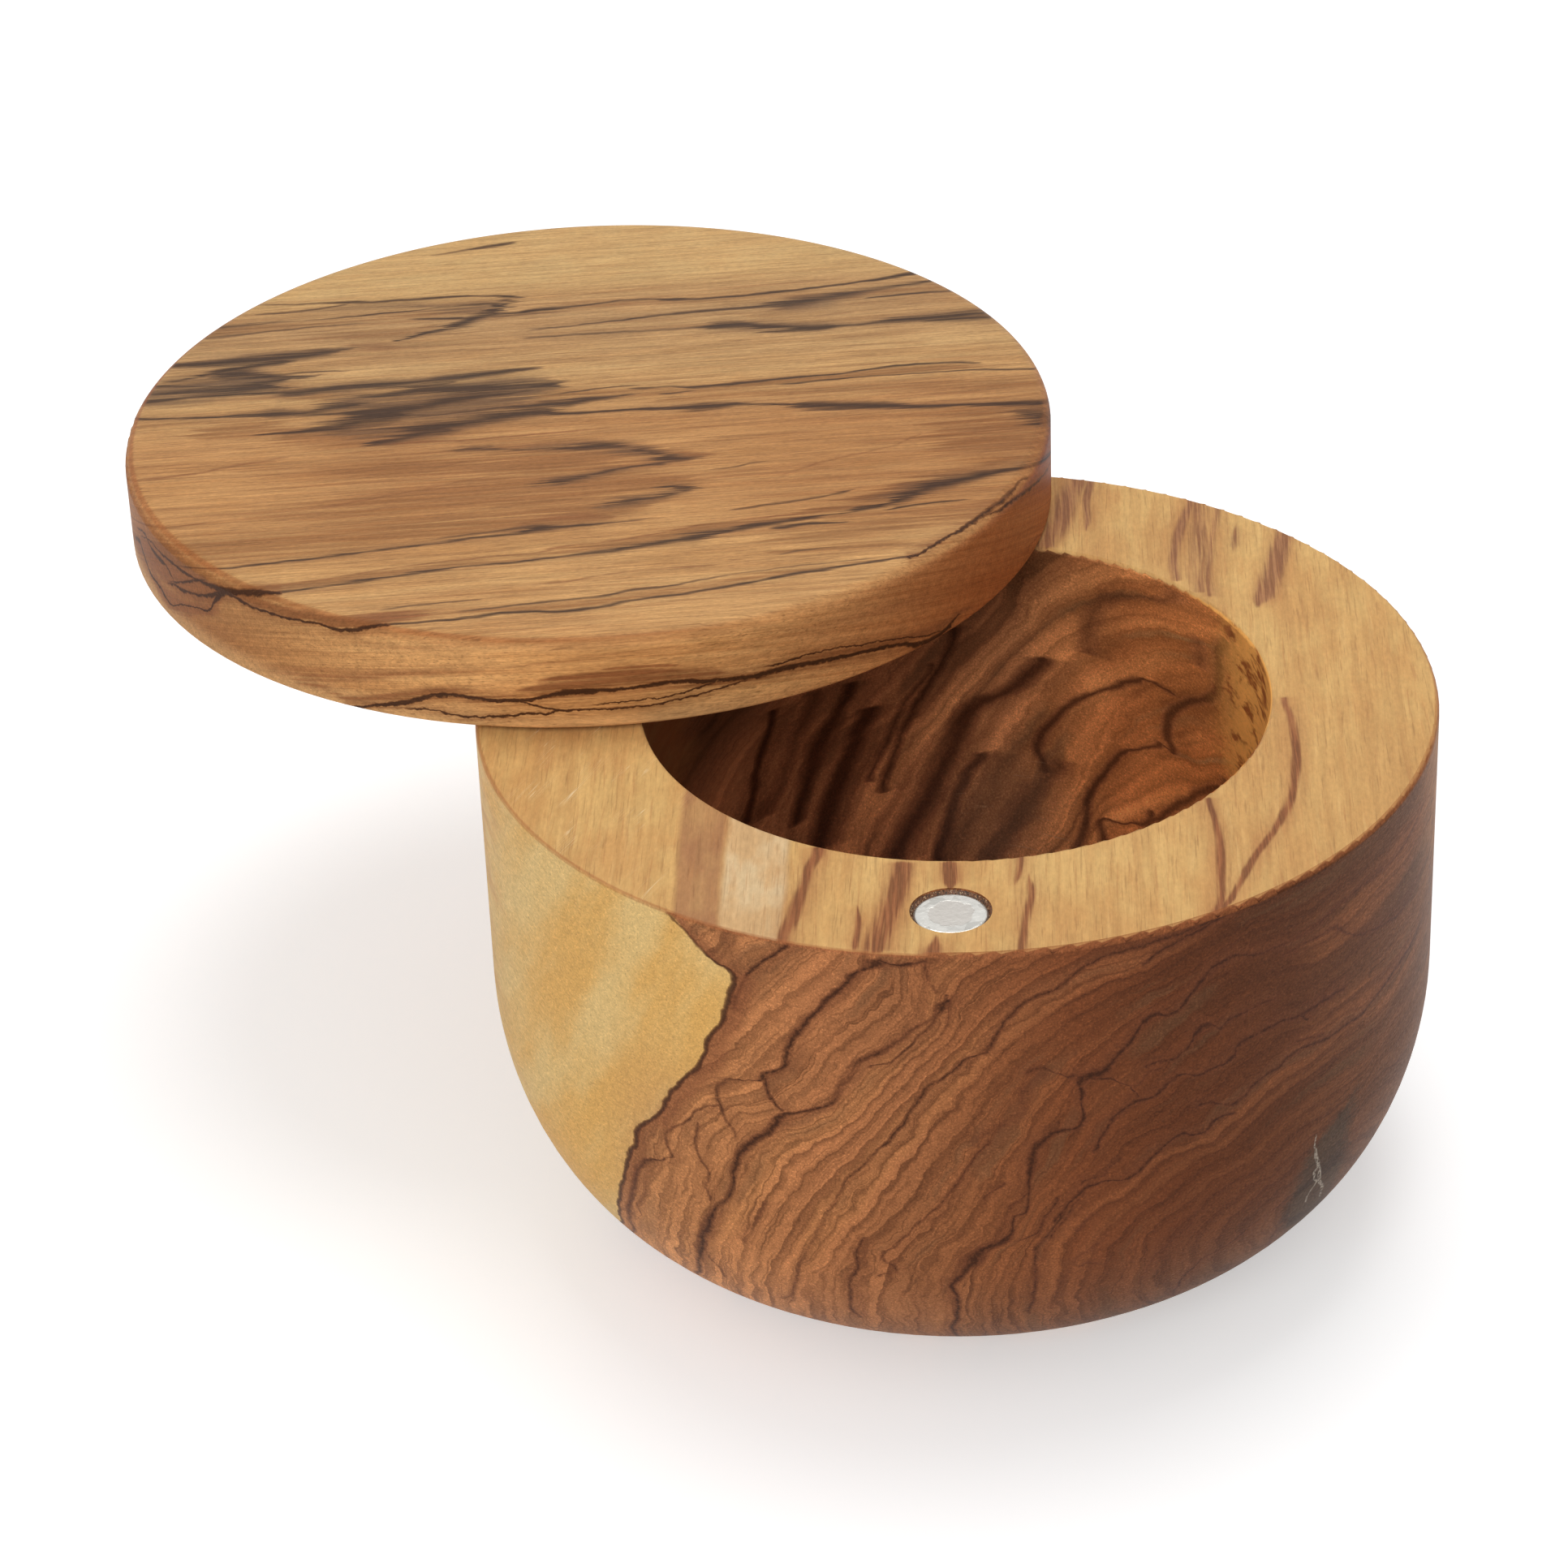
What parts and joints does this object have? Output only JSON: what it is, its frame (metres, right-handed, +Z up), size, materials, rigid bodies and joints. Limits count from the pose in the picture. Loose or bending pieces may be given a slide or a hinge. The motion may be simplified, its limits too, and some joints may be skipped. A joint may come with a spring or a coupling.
{
  "type": "salt keeper with swivel lid",
  "caption": "Turned wooden salt keeper: a thick round bowl with a flat rim, and a disc lid that swivels sideways on an upright steel pin and closes on small magnets.",
  "frame": {"origin": "centre of the bowl's flat base, on the bowl's axis", "axes": "+Z up along the bowl's axis, -Y to the front, where the magnet lies in the rim, +Y to the pivot pin at the back, +X to the right; the lid stands swung open to the left"},
  "size_m": [0.1539, 0.1573, 0.0735],
  "materials": {
    "bowl_wood": "oiled, satin",
    "lid_wood": "oiled, satin",
    "pin_steel": "ground",
    "magnet_nickel": "nickel plated",
    "glue": "set glue stained by the wood"
  },
  "bodies": {
    "bowl_body": {"bowl": "bowl_wood", "bowl_magnet": "magnet_nickel", "bowl_magnet_glue": "glue", "pivot_pin": "pin_steel"},
    "lid_body": {"lid": "lid_wood", "lid_magnet": "magnet_nickel", "lid_magnet_glue": "glue"}
  },
  "joints": [
    {"name": "lid_swivel", "type": "hinge", "parent": "bowl_body", "child": "lid_body", "pos_m": [0, 0.0445, 0.062], "axis": [0, 0, 1], "continuous": true}
  ]
}
